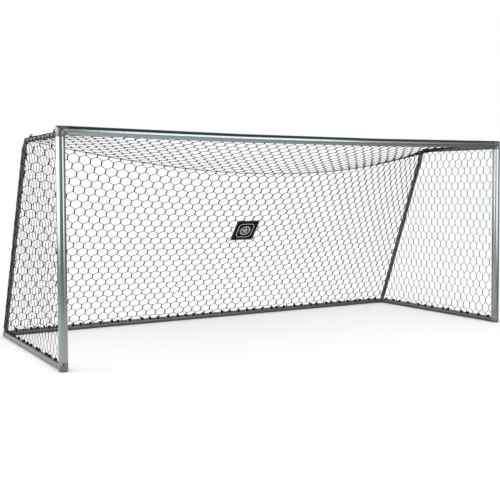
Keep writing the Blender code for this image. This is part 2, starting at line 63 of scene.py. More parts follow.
PROFILE_R = (post_high.x - post_low.x) / 2
POST_X = (post_high.x + post_low.x) / 2
FRONT_Y = post_low.y + PROFILE_R
HEIGHT = bar_high.z
BAR_Z = HEIGHT - PROFILE_R
FOOT_HEIGHT = post_low.z
BAR_END = bar_high.x
POST_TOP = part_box("post_upper_right")[1].z
BAR_SAG = BAR_Z - PROFILE_R - bar_low.z
BASE_R = (side_high.x - side_low.x) / 2
BASE_Z = (side_high.z + side_low.z) / 2
SOCKET_END = side_low.y
REAR_Y = (rear_low.y + rear_high.y) / 2
SIDE_R = 0.019
ARCH_LEAN = 0.03
ARCH_BEND = 0.09
ARCH_Y = 0.18
ARCH_Z = 1.943
TOP_TUBE_Z = 1.93
ELBOW_BEND = 0.03
ELBOW_R = 0.0265
ELBOW_REACH = 0.1
COLLAR_R = 0.0225
COLLAR_HEIGHT = 0.07
CORD_R = 0.003

# Net.
STRAND_SIDES = 6
NET_PITCH = 0.107
NET_ROW = 0.079
SIDE_PITCH = 0.095
SIDE_ROW = 0.084
ROOF_ROWS = 12
LEG_SHARE = {"back": 0.64, "roof": 0.55, "side": 0.6}
BACK_TWINE = (0.0043, 0.0028)
ROOF_TWINE = (0.0037, 0.0022)
SIDE_TWINE = {"left": (0.0019, 0.0013), "right": (0.0029, 0.0025)}
BACK_WANDER = 0.004
SIDE_WANDER = 0.003
LEG_STEPS = 4
ARC_STEPS = 4
HOOK_GAP_REAR = 0.115
HOOK_GAP_SIDE = 0.145
HOOK_WIDTH = 0.023
HOOK_SADDLE = math.radians(32)
HOOK_R = 0.0125
HOOK_WALL = 0.007
BORDER_R = 0.003
KNOT_R = 0.0024
KNOT_SHARES = (0.1, 0.13, 0.79, 0.82)


# Materials


def new_material(name, metallic=0.0, specular=0.5):
    made = bpy.data.materials.new(name)
    made.use_nodes = True
    shader = made.node_tree.nodes["Principled BSDF"]
    shader.inputs["Metallic"].default_value = metallic
    shader.inputs["Specular IOR Level"].default_value = specular
    return made, made.node_tree, shader


def grey(level):
    return level, level, level


def new_node(tree, kind, inputs=None, **settings):
    """A shader node; each of its inputs is a value to set or a socket to link."""
    node = tree.nodes.new("ShaderNode" + kind)
    for name, value in settings.items():
        setattr(node, name, value)
    for name, value in (inputs or {}).items():
        if isinstance(value, bpy.types.NodeSocket):
            tree.links.new(value, node.inputs[name])
        else:
            node.inputs[name].default_value = value
    return node


def noise_node(tree, scale, detail=3.0, stretch=(1, 1, 1)):
    """Noise in object space, stretched along an axis where its factor is small."""
    place = new_node(tree, "TexCoord").outputs["Object"]
    mapping = new_node(tree, "Mapping", {"Vector": place, "Scale": stretch})
    inputs = {"Vector": mapping.outputs["Vector"], "Scale": scale, "Detail": detail}
    return new_node(tree, "TexNoise", inputs)


def vary_colour(tree, shader, source, dark, light):
    ramp = new_node(tree, "ValToRGB", {"Fac": source.outputs["Fac"]})
    for element, position, colour in zip(ramp.color_ramp.elements, (0.3, 0.7), (dark, light)):
        element.position = position
        element.color = (*colour, 1)
    tree.links.new(ramp.outputs["Color"], shader.inputs["Base Color"])


def vary_roughness(tree, shader, source, low, high):
    spread = new_node(tree, "MapRange", {"Value": source.outputs["Fac"], "To Min": low, "To Max": high})
    tree.links.new(spread.outputs["Result"], shader.inputs["Roughness"])


def add_bump(tree, shader, source, strength, distance):
    inputs = {"Height": source.outputs[0], "Strength": strength, "Distance": distance}
    bump = new_node(tree, "Bump", inputs)
    tree.links.new(bump.outputs["Normal"], shader.inputs["Normal"])


def aluminium(name, along):
    """Satin anodised extrusion: fine die lines run along the given axis."""
    made, tree, shader = new_material(name, metallic=1.0)
    lines = noise_node(tree, 900, 2.0, tuple(0.01 if axis == along else 1.0 for axis in "xyz"))
    vary_roughness(tree, shader, noise_node(tree, 6), 0.18, 0.24)
    vary_colour(tree, shader, lines, (0.265, 0.3, 0.315), (0.295, 0.33, 0.345))
    add_bump(tree, shader, lines, 0.05, 0.0001)
    return made


def powder_coat():
    """Grey powder coat with orange peel."""
    made, tree, shader = new_material("grey_powder_coat")
    cloud = noise_node(tree, 9)
    vary_colour(tree, shader, cloud, (0.118, 0.118, 0.113), (0.138, 0.138, 0.132))
    vary_roughness(tree, shader, cloud, 0.19, 0.25)
    add_bump(tree, shader, noise_node(tree, 700), 0.15, 0.0002)
    return made


def moulded_plastic(name, dark, light, shine, rough):
    """Moulded plastic with a fine spark-eroded grain under a smooth skin."""
    made, tree, shader = new_material(name, specular=shine)
    shader.inputs["Coat Weight"].default_value = 0.7 * shine
    shader.inputs["Coat Roughness"].default_value = 0.12
    cloud = noise_node(tree, 14)
    vary_colour(tree, shader, cloud, dark, light)
    vary_roughness(tree, shader, cloud, rough - 0.04, rough + 0.04)
    add_bump(tree, shader, noise_node(tree, 1800, 1.0), 0.15, 0.0002)
    return made


def zinc():
    """Bright zinc plate with faint spangle."""
    made, tree, shader = new_material("zinc_plate", metallic=1.0)
    spangle = noise_node(tree, 350)
    vary_colour(tree, shader, spangle, (0.5, 0.5, 0.47), (0.68, 0.68, 0.65))
    vary_roughness(tree, shader, spangle, 0.22, 0.4)
    return made


def twine():
    """Black braided twine."""
    made, tree, shader = new_material("black_twine", specular=0.15)
    shader.inputs["Roughness"].default_value = 0.75
    fibre = noise_node(tree, 1300, 2.0, (1, 1, 0.4))
    vary_colour(tree, shader, fibre, grey(0.005), grey(0.018))
    add_bump(tree, shader, fibre, 0.5, 0.0006)
    return made


def coated_cloth():
    """Black coated cloth with a plain weave."""
    made, tree, shader = new_material("black_cloth", specular=0.1)
    shader.inputs["Roughness"].default_value = 0.8
    place = new_node(tree, "TexCoord").outputs["Object"]
    weave = new_node(tree, "Math", operation="MULTIPLY")
    for direction, strength in zip("XZ", weave.inputs):
        inputs = {"Vector": place, "Scale": 260, "Distortion": 0.4}
        wave = new_node(tree, "TexWave", inputs, bands_direction=direction)
        tree.links.new(wave.outputs["Fac"], strength)
    add_bump(tree, shader, weave, 0.4, 0.0004)
    vary_colour(tree, shader, noise_node(tree, 40), grey(0.003), grey(0.006))
    return made


def thread():
    """Pale sewing thread."""
    made, tree, shader = new_material("pale_thread")
    shader.inputs["Roughness"].default_value = 0.6
    vary_colour(tree, shader, noise_node(tree, 2500, 1.0), grey(0.66), grey(0.84))
    return made


ALONG_X = aluminium("anodised_along_x", "x")
ALONG_Z = aluminium("anodised_along_z", "z")
STEEL = powder_coat()
FITTING = moulded_plastic("grey_fitting", (0.085, 0.089, 0.096), (0.105, 0.11, 0.118), 0.9, 0.24)
HOOK = moulded_plastic("black_hook", grey(0.005), grey(0.01), 0.08, 0.6)
ZINC = zinc()
TWINE = twine()
CLOTH = coated_cloth()
THREAD = thread()


# Mesh helpers


def outward_mesh(name, verts, faces, finish, sharp):
    """A smooth mesh with its faces turned outward."""
    data = bpy.data.meshes.new(name)
    data.from_pydata([tuple(v) for v in verts], [], faces)
    data.validate()
    work = bmesh.new()
    work.from_mesh(data)
    bmesh.ops.recalc_face_normals(work, faces=work.faces)
    work.to_mesh(data)
    work.free()
    data.shade_smooth()
    data.set_sharp_from_angle(angle=math.radians(sharp))
    data.materials.append(finish)
    return data


def add_object(name, data):
    made = bpy.data.objects.new(name, data)
    bpy.context.scene.collection.objects.link(made)
    return made


def add_piece(name, verts, faces, finish, slot, body="frame", replaces=(), sharp=40):
    obj = add_object(name, outward_mesh(name, verts, faces, finish, sharp))
    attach(obj, body)
    if replaces:
        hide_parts(*replaces)
    return obj


class Shape:
    """Vertices and faces gathered from several closed shells."""

    def __init__(self):
        self.verts = []
        self.faces = []

    def rings(self, rings, endless=False, caps=True):
        """A skin over rings of equally many points."""
        first = len(self.verts)
        count = len(rings[0])
        for ring in rings:
            self.verts.extend(tuple(p) for p in ring)
        pairs = len(rings) if endless else len(rings) - 1
        for r in range(pairs):
            one = first + r * count
            two = first + (r + 1) % len(rings) * count
            for i in range(count):
                j = (i + 1) % count
                self.faces.append((one + i, one + j, two + j, two + i))
        if caps and not endless:
            self.faces.append(tuple(first + i for i in reversed(range(count))))
            last = first + (len(rings) - 1) * count
            self.faces.append(tuple(last + i for i in range(count)))

    def turned(self, seat, along, start, stations, count):
        """A shell turned round an axis, through stations of (place along it, radius)."""
        self.rings([circle(seat + along * place, along, start, size, count) for place, size in stations])

    def piece(self, name, finish, slot, **facts):
        return add_piece(name, self.verts, self.faces, finish, slot, **facts)


def quarter_turn(steps):
    """(sine, cosine) pairs of steps from the first after 0 to 90 degrees."""
    angles = [math.pi / 2 * step / steps for step in range(1, steps + 1)]
    return [(math.sin(angle), math.cos(angle)) for angle in angles]


def around(middle, radius, angle):
    """A point of a flat circle."""
    return middle[0] + radius * math.cos(angle), middle[1] + radius * math.sin(angle)


def circle(centre, along, start, radius, count):
    along = along.normalized()
    first = (start - along * start.dot(along)).normalized()
    second = along.cross(first)
    turn = [2 * math.pi * step / count for step in range(count)]
    return [centre + radius * (math.cos(a) * first + math.sin(a) * second) for a in turn]


def bent_path(first, corner, last, bend, steps):
    """(centre, direction) pairs from first to last, with an arc of radius bend at the corner."""
    inward = (first - corner).normalized()
    outward = (last - corner).normalized()
    half = inward.angle(outward) / 2
    middle = corner + (inward + outward).normalized() * bend / math.sin(half)
    sweep = math.pi - 2 * half
    from_middle = corner + inward * bend / math.tan(half) - middle
    path = [(first, -inward)]
    for step in range(steps + 1):
        angle = sweep * step / steps
        offset = from_middle * math.cos(angle) - inward * bend * math.sin(angle)
        along = -inward * math.cos(angle) - from_middle.normalized() * math.sin(angle)
        path.append((middle + offset, along))
    path.append((last, outward))
    return path


def unit(rows):
    return rows / np.linalg.norm(rows, axis=1)[:, None]


def sweep_cord(shape, path, radius, sides, normal):
    """A round cord along an (n, 3) array of points; normal is any direction across it."""
    turn = 2 * np.pi * np.arange(sides) / sides
    along = unit(np.gradient(path, axis=0))
    first = unit(np.cross(along, normal))
    second = np.cross(along, first)
    ring = first[:, None] * np.cos(turn)[:, None] + second[:, None] * np.sin(turn)[:, None]
    size = np.broadcast_to(radius, len(path))[:, None, None]
    shape.rings(path[:, None] + size * ring)


def eased_path(path, ease, end_r, radius):
    """(centre, direction, radius) stations along a path, with a smaller radius at its two ends."""
    (begin, ahead), (end, onward) = path[0], path[-1]
    stations = [(begin, ahead, end_r), (begin + ahead * ease, ahead, radius)]
    stations += [(centre, along, radius) for centre, along in path[1:-1]]
    return stations + [(end - onward * ease, onward, radius), (end, onward, end_r)]


# Frame pieces


def profile_outline(steps=72):
    """The extruded profile's outer outline as (across, rearward), with its lipped net groove."""
    mouth, half, lip, deep = 0.0045, 0.0075, 0.003, 0.012
    begin = math.asin(mouth / PROFILE_R)
    sweep = 2 * math.pi - 2 * begin
    angles = [begin + sweep * step / steps for step in range(steps + 1)]
    outline = [(PROFILE_R * math.sin(a), PROFILE_R * math.cos(a)) for a in angles]
    groove = [(-mouth, lip), (-half, lip), (-half, deep), (half, deep), (half, lip), (mouth, lip)]
    return outline + [(across, PROFILE_R - depth) for across, depth in groove]


def profile_piece(node, place, stations, finish):
    """A length of profile through stations along it, with its end edges eased."""
    outline = profile_outline()
    ease = 0.0006
    begin, end = stations
    eased = 1 - ease / PROFILE_R
    marks = [(begin, eased), (begin + ease, 1.0), (end - ease, 1.0), (end, eased)]
    shape = Shape()
    shape.rings([[place(a * size, r * size, mark) for a, r in outline] for mark, size in marks])
    return shape.piece(node + "_profile", finish, "aluminium", replaces=[node])


def on_post(side):
    def place(across, rearward, up):
        return Vector((side * (POST_X - across), FRONT_Y + rearward, up))

    return place


def bar_drop(x):
    """How far the crossbar hangs at x."""
    third = BAR_END / 3
    return BAR_SAG * min(1, max(0, (BAR_END - abs(x)) / (BAR_END - third)))


def on_bar(across, rearward, x):
    return Vector((x, FRONT_Y + rearward, BAR_Z - across - bar_drop(x)))


def build_profiles():
    for node in ("crossbar_left", "crossbar_centre", "crossbar_right"):
        low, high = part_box(node)
        profile_piece(node, on_bar, (low.x, high.x), ALONG_X)
    for label, side in SIDES.items():
        for half in ("lower", "upper"):
            node = f"post_{half}_{label}"
            low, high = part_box(node)
            profile_piece(node, on_post(side), (low.z, high.z), ALONG_Z)


def tube_piece(node, path, radius, start, count=48):
    """A steel tube along (centre, direction) pairs, with eased ends."""
    ease = 0.0008
    stations = eased_path(path, ease, radius - ease, radius)
    shape = Shape()
    shape.rings([circle(centre, along, start, size, count) for centre, along, size in stations])
    return shape.piece(node + "_tube", STEEL, "steel", replaces=[node])


def side_points(side):
    """Corners of a side frame's centre line: the top boss, the upper bend and the rear elbow."""
    front = Vector((side * POST_X, FRONT_Y + PROFILE_R + 0.016, TOP_TUBE_Z))
    bend = Vector((side * (POST_X - ARCH_LEAN), ARCH_Y, ARCH_Z))
    cut = ELBOW_BEND * (1 - math.sqrt(0.5))
    foot = Vector((side * (POST_X - cut), REAR_Y - cut, BASE_Z))
    return front, bend, foot


def build_tubes():
    for label, side in SIDES.items():
        for half in ("front", "rear"):
            node = f"base_side_{half}_{label}"
            low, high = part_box(node)
            end = high.y - (0.07 if half == "front" else 0)
            x = (low.x + high.x) / 2
            path = [(Vector((x, low.y, BASE_Z)), Y_AXIS), (Vector((x, end, BASE_Z)), Y_AXIS)]
            tube_piece(node, path, BASE_R, X_AXIS)
        front, bend, foot = side_points(side)
        fall = (foot - bend).normalized()
        joint = bend + fall * 0.5
        end = foot - fall * COLLAR_HEIGHT
        arch = bent_path(front, bend, joint, ARCH_BEND, 16)
        tube_piece(f"side_arch_{label}", arch, SIDE_R, X_AXIS)
        tube_piece(f"stanchion_{label}", [(joint + fall * 0.0006, fall), (end, fall)], SIDE_R, X_AXIS)
    joint = (POST_X - ELBOW_REACH) / 3
    spans = {
        "rear_bar_left": (-POST_X + ELBOW_REACH, -joint),
        "rear_bar_centre": (-joint + 0.0006, joint - 0.0006),
        "rear_bar_right": (joint, POST_X - ELBOW_REACH),
    }
    for node, (begin, end) in spans.items():
        path = [(Vector((begin, REAR_Y, BASE_Z)), X_AXIS), (Vector((end, REAR_Y, BASE_Z)), X_AXIS)]
        tube_piece(node, path, BASE_R, Z_AXIS)


def corner_ring(side, middle, slope, size, count=64):
    """A ring of a top corner; slope says how its (across, up) grow with the distance from its middle."""
    ring = []
    for i in range(count):
        angle = 2 * math.pi * i / count
        out = size * math.cos(angle)
        across, up = middle[0] + slope[0] * out, middle[1] + slope[1] * out
        ring.append(Vector((side * across, FRONT_Y + size * math.sin(angle), up)))
    return ring


def build_corners():
    """Moulded top corners: each line of their surface turns the corner with the same small rounding."""
    rounding, steps, edge, small = 0.014, 8, 0.0015, PROFILE_R - 0.0009
    for label, side in SIDES.items():
        rings = [
            corner_ring(side, (POST_X, POST_TOP), (1, 0), small),
            corner_ring(side, (POST_X, POST_TOP + edge), (1, 0), PROFILE_R),
        ]
        for step in range(steps + 1):
            angle = math.pi / 2 * step / steps
            middle = (POST_X - rounding * (1 - math.cos(angle)), BAR_Z - rounding * (1 - math.sin(angle)))
            rings.append(corner_ring(side, middle, (1, 1), PROFILE_R))
        rings.append(corner_ring(side, (BAR_END + edge, BAR_Z), (0, 1), PROFILE_R))
        rings.append(corner_ring(side, (BAR_END, BAR_Z), (0, 1), small))
        shape = Shape()
        shape.rings(rings)
        front, bend, _ = side_points(side)
        boss = [(-0.02, 0.0235), (-0.0155, 0.0235), (-0.0135, 0.021), (-0.0012, 0.021), (0.0, 0.0202)]
        shape.turned(front, (bend - front).normalized(), X_AXIS, boss, 40)
        shape.piece(f"top_corner_{label}_moulding", FITTING, "fitting", replaces=[f"top_corner_{label}"])


def build_feet():
    """Moulded feet: a cup with a rolled bottom edge, and the socket that the base tube slips on."""
    roll = 0.006
    cup = [(0.0, PROFILE_R - roll)]
    cup += [(roll * (1 - cosine), PROFILE_R - roll * (1 - sine)) for sine, cosine in quarter_turn(6)]
    cup += [(FOOT_HEIGHT - 0.0015, PROFILE_R), (FOOT_HEIGHT, PROFILE_R - 0.0009)]
    for label, side in SIDES.items():
        shape = Shape()
        shape.turned(Vector((side * POST_X, FRONT_Y, 0)), Z_AXIS, Y_AXIS, cup, 64)
        root = Vector((side * POST_X, FRONT_Y + 0.01, BASE_Z))
        reach = SOCKET_END - root.y
        socket = [(0.0, BASE_R), (reach - 0.0015, BASE_R), (reach - 0.0005, BASE_R - 0.001)]
        shape.turned(root, Y_AXIS, X_AXIS, socket, 48)
        shape.piece(f"front_foot_{label}_moulding", FITTING, "fitting", replaces=[f"front_foot_{label}"])


def build_elbows():
    """Rear corners of the base: a bent sleeve with rims, and the collar that carries the stanchion."""
    collar = [(0.0, COLLAR_R), (COLLAR_HEIGHT - 0.002, COLLAR_R), (COLLAR_HEIGHT, SIDE_R + 0.0003)]
    for label, side in SIDES.items():
        corner = Vector((side * POST_X, REAR_Y, BASE_Z))
        ends = corner - Y_AXIS * ELBOW_REACH, corner - X_AXIS * side * ELBOW_REACH
        path = bent_path(ends[0], corner, ends[1], ELBOW_BEND, 16)
        stations = eased_path(path, 0.002, BASE_R + 0.0003, ELBOW_R)
        rings = [circle(centre, along, Z_AXIS, size, 48) for centre, along, size in stations]
        shape = Shape()
        shape.rings([[Vector((p.x, p.y, max(p.z, 0.0))) for p in ring] for ring in rings])
        _, bend, foot = side_points(side)
        shape.turned(foot, (bend - foot).normalized(), X_AXIS, collar, 40)
        shape.piece(f"rear_elbow_{label}_sleeve", STEEL, "fitting", replaces=[f"rear_elbow_{label}"])


def build_screws():
    """Button-head screws with a hexagon socket, on the profile's rear inner side."""
    tilt = math.radians(40)
    head_r, head, socket, deep = 0.006, 0.0032, 0.002, 0.0016
    domed = [(-0.004, 0.003), (0.0, 0.003), (0.0, head_r)]
    domed += [(head * sine, head_r - 0.0035 * (1 - cosine)) for sine, cosine in quarter_turn(5)]
    for node in sorted(node for node in frame["nodes"] if "_screw_" in node):
        low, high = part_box(node)
        middle = (low + high) / 2
        if node.startswith("crossbar"):
            outward = Vector((0, math.cos(tilt), -math.sin(tilt)))
            centre = Vector((middle.x, FRONT_Y, BAR_Z - bar_drop(middle.x)))
            side = X_AXIS
        else:
            outward = Vector((-math.copysign(math.sin(tilt), middle.x), math.cos(tilt), 0))
            centre = Vector((math.copysign(POST_X, middle.x), FRONT_Y, middle.z))
            side = Z_AXIS
        seat = centre + outward * PROFILE_R
        rings = [circle(seat + outward * place, outward, side, size, 36) for place, size in domed]
        for place in (head, head - deep):
            rings.append(hexagon(seat + outward * place, outward, side, socket, 36))
        shape = Shape()
        shape.rings(rings)
        shape.piece(node + "_head", ZINC, "fastener", replaces=[node], sharp=30)


def hexagon(centre, along, start, radius, count):
    """A hexagon of count points."""
    points = []
    for i, point in enumerate(circle(centre, along, start, 1.0, count)):
        angle = 2 * math.pi * i / count % (math.pi / 3)
        size = radius * math.cos(math.pi / 6) / math.cos(angle - math.pi / 6)
        points.append(centre + (point - centre) * size)
    return points


def build_buttons():
    """Domed pins of the snap buttons, each on its own body."""
    radius, dome = 0.004, 0.0022
    pin = [(-0.008, radius), (-dome, radius)]
    pin += [(-dome + dome * sine, max(radius * cosine, 0.0002)) for sine, cosine in quarter_turn(6)]
    for joint in frame["joints"]:
        node = joint["child"]
        outward = -Vector(joint["axis"])
        points = [v.co.copy() for v in frame["nodes"][node].data.vertices]
        top = max(p.dot(outward) for p in points)
        tip_points = [p for p in points if p.dot(outward) > top - 1e-4]
        tip = sum(tip_points, Vector()) / len(tip_points)
        start = Z_AXIS if abs(outward.z) < 0.5 else X_AXIS
        shape = Shape()
        shape.turned(tip, outward, start, pin, 28)
        shape.piece(node + "_pin", ZINC, "fastener", body=node, replaces=[node])


def dress_sleeves():
    """The sleeves inside the profiles stay as CAD nodes, with the profiles' metal."""
    for kind, finish in (("crossbar", ALONG_X), ("post", ALONG_Z)):
        for label in SIDES:
            materials = frame["nodes"][f"{kind}_sleeve_{label}"].data.materials
            materials.clear()
            materials.append(finish)


# Net surfaces: points for arrays of (across, down), each from 0 to 1


def lerp(a, b, t):
    return a + (b - a) * t


def smooth(t):
    t = np.clip(t, 0, 1)
    return t * t * (3 - 2 * t)


def points(x, y, z):
    return np.stack(np.broadcast_arrays(x, y, z), axis=-1)


def spread(begin, end, gap, seed):
    """Places from begin to end, about a gap apart, unevenly as by hand."""
    count = round((end - begin) / gap)
    even = (end - begin) / count
    places = []
    for i in range(count + 1):
        shift = noise.noise(Vector((i * 1.7 + 0.37, seed, 0.5))) * 0.45 * even
        places.append(begin + even * i + (shift if 0 < i < count else 0))
    return places


def border_lift(along, hooks):
    """How far a border cord stands off its tube at places along it: the hooks hold it up."""
    marks = np.array(hooks)
    at = np.clip(np.searchsorted(marks, along, side="right") - 1, 0, len(marks) - 2)
    share = np.clip((along - marks[at]) / (marks[at + 1] - marks[at]), 0, 1)
    return (HOOK_R - BORDER_R) * np.cos(np.pi * share) ** 4


REAR_HOOKS = spread(-POST_X + 0.12, POST_X - 0.12, HOOK_GAP_REAR, 1.0)
SIDE_HOOKS = spread(FRONT_Y + 0.09, REAR_Y - 0.1, HOOK_GAP_SIDE, 2.0)
BORDER_Z = BASE_Z + BASE_R + BORDER_R

RIDGE_REACH = cord_high.x
RIDGE_Y = cord_high.y - CORD_R
RIDGE_Z = cord_high.z - CORD_R
RIDGE_FORWARD = cord_high.y - cord_low.y - 2 * CORD_R
RIDGE_DROP = cord_high.z - cord_low.z - 2 * CORD_R


def ridge(share):
    """The net's upper rear edge, for shares from -1 to 1."""
    return points(
        share * RIDGE_REACH,
        RIDGE_Y - RIDGE_FORWARD * (1 - np.abs(share) ** 3),
        RIDGE_Z - RIDGE_DROP * (1 - share**2),
    )


def spread_share(across):
    """Shares from -1 to 1 for columns that are a little wider in the middle of the goal."""
    even = 2 * across - 1
    return even + 0.05 * even * (1 - even**2)


def roof(across, down):
    share = spread_share(across)
    sag = BAR_SAG * np.clip((1 - np.abs(share)) * 1.5, 0, 1)
    rise = (BAR_Z - TOP_TUBE_Z - SIDE_R - 0.004) * (1 - np.abs(share) ** 6)
    level = TOP_TUBE_Z + SIDE_R + 0.004 + rise - sag
    front = points(share * (POST_X - 0.004), FRONT_Y + PROFILE_R - 0.001, level)
    rear = ridge(share)
    lift = np.abs(share) ** 12 * 0.018
    flat = lerp(front, rear, down[..., None])
    taut = (1 - down**2) * (1 - smooth((1 - np.abs(share)) / 0.3))
    flat[..., 2] += down * RIDGE_DROP * (1 - share**2) * taut
    flat[..., 2] += lift * smooth(down) - 0.02 * np.sin(np.pi * down) * (1 - np.abs(share) ** 4)
    return flat


def back(across, down):
    share = spread_share(across)
    height = np.clip(1 - down * (1 + 0.06 * (1 - down)), 0, 1)
    cut = ELBOW_BEND * (1 - math.sqrt(0.5))
    x = share * (POST_X - cut)
    low = points(x, REAR_Y - 0.008, BORDER_Z + border_lift(x, REAR_HOOKS))
    level = ridge(np.ones_like(share))
    top = points(share * RIDGE_REACH, level[..., 1], level[..., 2])
    pull = ridge(share) - top
    return lerp(low, top, height[..., None]) + pull * height[..., None] ** 1.5


def side_net(side):
    """The side net's surface over (metres behind the post's groove, share of the way down).

    It lies outside the top tube and the stanchion, and over the middle of the base tube."""

    reach = SIDE_R + 0.0025

    def surface(rearward, share):
        y = FRONT_Y + PROFILE_R + rearward
        border = BORDER_Z + border_lift(y, SIDE_HOOKS)
        z = lerp(TOP_TUBE_Z + 0.4 * reach, border, share)
        lean = ARCH_LEAN * (1 - share) * np.clip(rearward / 1.1, 0, 1)
        upper = reach * (1 - smooth(share / 0.12)) * smooth(rearward / 0.1)
        rear = reach * smooth((rearward - 0.9) / 0.9) * smooth(share / 0.1)
        inner = -0.006 * smooth((share - 0.8) / 0.2)
        return points(side * (POST_X - lean + np.maximum(upper, rear) + inner), y, z)

    return surface


# Net strands


def lattice_strands(columns, rows, leg_share):
    """Zigzag strands of a hexagonal net: (across, down, twist, twist radius), down from 0 to rows.

    Two strands share each upright leg and wind round each other there; between legs each runs alone."""
    half = leg_share / 2
    strands = []
    for k in range(columns + 1):
        for hand in (-1, 1):
            if not 0 <= k + 0.5 * hand <= columns:
                continue
            marks = []
            for row in range(rows + 1):
                at = k + (0.5 * hand if row % 2 else 0)
                begin, end = max(row - half, 0), min(row + half, rows)
                start = 0 if (hand > 0) == (row % 2 == 0) else math.pi
                for step in range(LEG_STEPS + 1):
                    t = step / LEG_STEPS
                    marks.append((at, lerp(begin, end, t), start + 2 * math.pi * t, 1.0))
                if row == rows:
                    break
                after = k + (0.5 * hand if (row + 1) % 2 else 0)
                for step in range(1, ARC_STEPS):
                    t = step / ARC_STEPS
                    bow = lerp(t, smooth(t), 0.25)
                    marks.append((lerp(at, after, t), row + half + (1 - leg_share) * bow, 0.0, 0.0))
            strands.append(np.array(marks).T)
    return strands


def wander(path, amount):
    """Moves a strand's points a little, alike for neighbours, as a hung net does."""
    shifts = [noise.noise_vector(Vector(point) * 3.1) for point in path]
    return path + amount * np.array(shifts)


def strand_path(surface, across, down, twist, apart, twine, stray):
    """A strand's points, wound round its partner in the legs, with outward directions and radii."""
    step = 1e-3
    path = surface(across, down)
    sideways = unit(surface(across + step, down) - surface(across - step, down))
    downward = surface(across, down + step) - surface(across, down - step)
    outward = unit(np.cross(sideways, downward))
    path = wander(path, stray)
    leg_r, arc_r = twine
    radius = arc_r + (leg_r - arc_r) * apart
    wind = 0.6 * (radius * apart)[:, None]
    path += wind * (np.cos(twist)[:, None] * sideways + np.sin(twist)[:, None] * outward)
    return np.column_stack([path, outward, radius])


def net_piece(name, surface, columns, rows, leg_share, twine, node, share=(0.0, 1.0)):
    """A net of strands over a surface of (across, down) from 0 to 1."""

    def on_mesh(across, down):
        return surface(across / columns, down / rows)

    shape = Shape()
    for across, down, twist, apart in lattice_strands(columns, rows, leg_share):
        if not share[0] * columns <= across[0] < share[1] * columns + (share[1] == 1.0):
            continue
        strand = strand_path(on_mesh, across, down, twist, apart, twine, BACK_WANDER)
        sweep_cord(shape, strand[:, :3], strand[:, 6], STRAND_SIDES, strand[:, 3:6])
    return shape.piece(name, TWINE, "net", replaces=[node], sharp=180)


def clip_strand(strand, beyond):
    """The longest run of a strand that isn't beyond the edge, ended on the edge."""
    runs, begin = [], None
    for i, flag in enumerate([*(beyond < 0), False]):
        if flag and begin is None:
            begin = i
        if not flag and begin is not None:
            runs.append((begin, i))
            begin = None
    if not runs:
        return None
    begin, end = max(runs, key=lambda run: run[1] - run[0])
    kept = [strand[begin:end]]
    if begin > 0:
        t = beyond[begin] / (beyond[begin] - beyond[begin - 1])
        kept.insert(0, lerp(strand[begin], strand[begin - 1], t)[None])
    if end < len(strand):
        t = beyond[end - 1] / (beyond[end - 1] - beyond[end])
        kept.append(lerp(strand[end - 1], strand[end], t)[None])
    kept = np.concatenate(kept)
    return kept if len(kept) > 2 else None


def side_piece(label, side):
    """A side net: upright columns of hexagons, cut off along the stanchion."""
    _, bend, foot = side_points(side)
    fall = (foot - bend).normalized()
    surface = side_net(side)
    depth = REAR_Y - FRONT_Y - PROFILE_R
    height = TOP_TUBE_Z - BORDER_Z
    columns, rows = round(depth / SIDE_PITCH), round(height / SIDE_ROW)
    behind = Vector((0, -fall.z, fall.y))

    def on_mesh(across, down):
        return surface(across * depth / columns, down / rows)

    shape = Shape()
    for across, down, twist, apart in lattice_strands(columns, rows, LEG_SHARE["side"]):
        strand = strand_path(on_mesh, across, down, twist, apart, SIDE_TWINE[label], SIDE_WANDER)
        beyond = (strand[:, 1] - bend.y) * behind.y + (strand[:, 2] - bend.z) * behind.z
        strand = clip_strand(strand, beyond)
        if strand is not None:
            sweep_cord(shape, strand[:, :3], strand[:, 6], STRAND_SIDES, strand[:, 3:6])
    shape.piece(f"net_side_{label}_strands", TWINE, "net", replaces=[f"net_side_{label}"], sharp=180)


def cord_piece(name, path, radius, slot="net", sides=10, replaces=()):
    shape = Shape()
    sweep_cord(shape, path, radius, sides, ASKEW)
    return shape.piece(name, TWINE, slot, replaces=replaces, sharp=180)


def build_net():
    rear_height = math.hypot(RIDGE_Z - BORDER_Z, REAR_Y - RIDGE_Y)
    columns, rows = round(2 * RIDGE_REACH / NET_PITCH), round(rear_height / NET_ROW)
    for label, share in (("left", (0.0, 0.5)), ("right", (0.5, 1.0))):
        name = f"net_back_strands_{label}"
        net_piece(name, back, columns, rows, LEG_SHARE["back"], BACK_TWINE, "net_back", share)
    net_piece("net_roof_strands", roof, columns, ROOF_ROWS, LEG_SHARE["roof"], ROOF_TWINE, "net_roof")
    for label, side in SIDES.items():
        side_piece(label, side)
    share = np.linspace(-1, 1, 121)
    cord_piece("net_ridge_line", ridge(share), CORD_R, replaces=["net_ridge_cord"])


def resampled(path, step):
    """Evenly spaced points of a (centre, direction) path, with their directions and distances."""
    line = np.array([tuple(centre) for centre, _ in path])
    lengths = np.concatenate([[0], np.cumsum(np.linalg.norm(np.diff(line, axis=0), axis=1))])
    marks = np.linspace(0, lengths[-1], max(2, round(lengths[-1] / step)))
    centres = np.stack([np.interp(marks, lengths, line[:, axis]) for axis in range(3)], axis=1)
    return centres, unit(np.gradient(centres, axis=0)), marks


def round_tube(along, turn):
    """Directions round a side tube, by turns from the goal's right towards its top and rear."""
    over = unit(np.cross(X_AXIS, along))
    return np.cos(turn)[:, None] * np.array(X_AXIS) + np.sin(turn)[:, None] * over


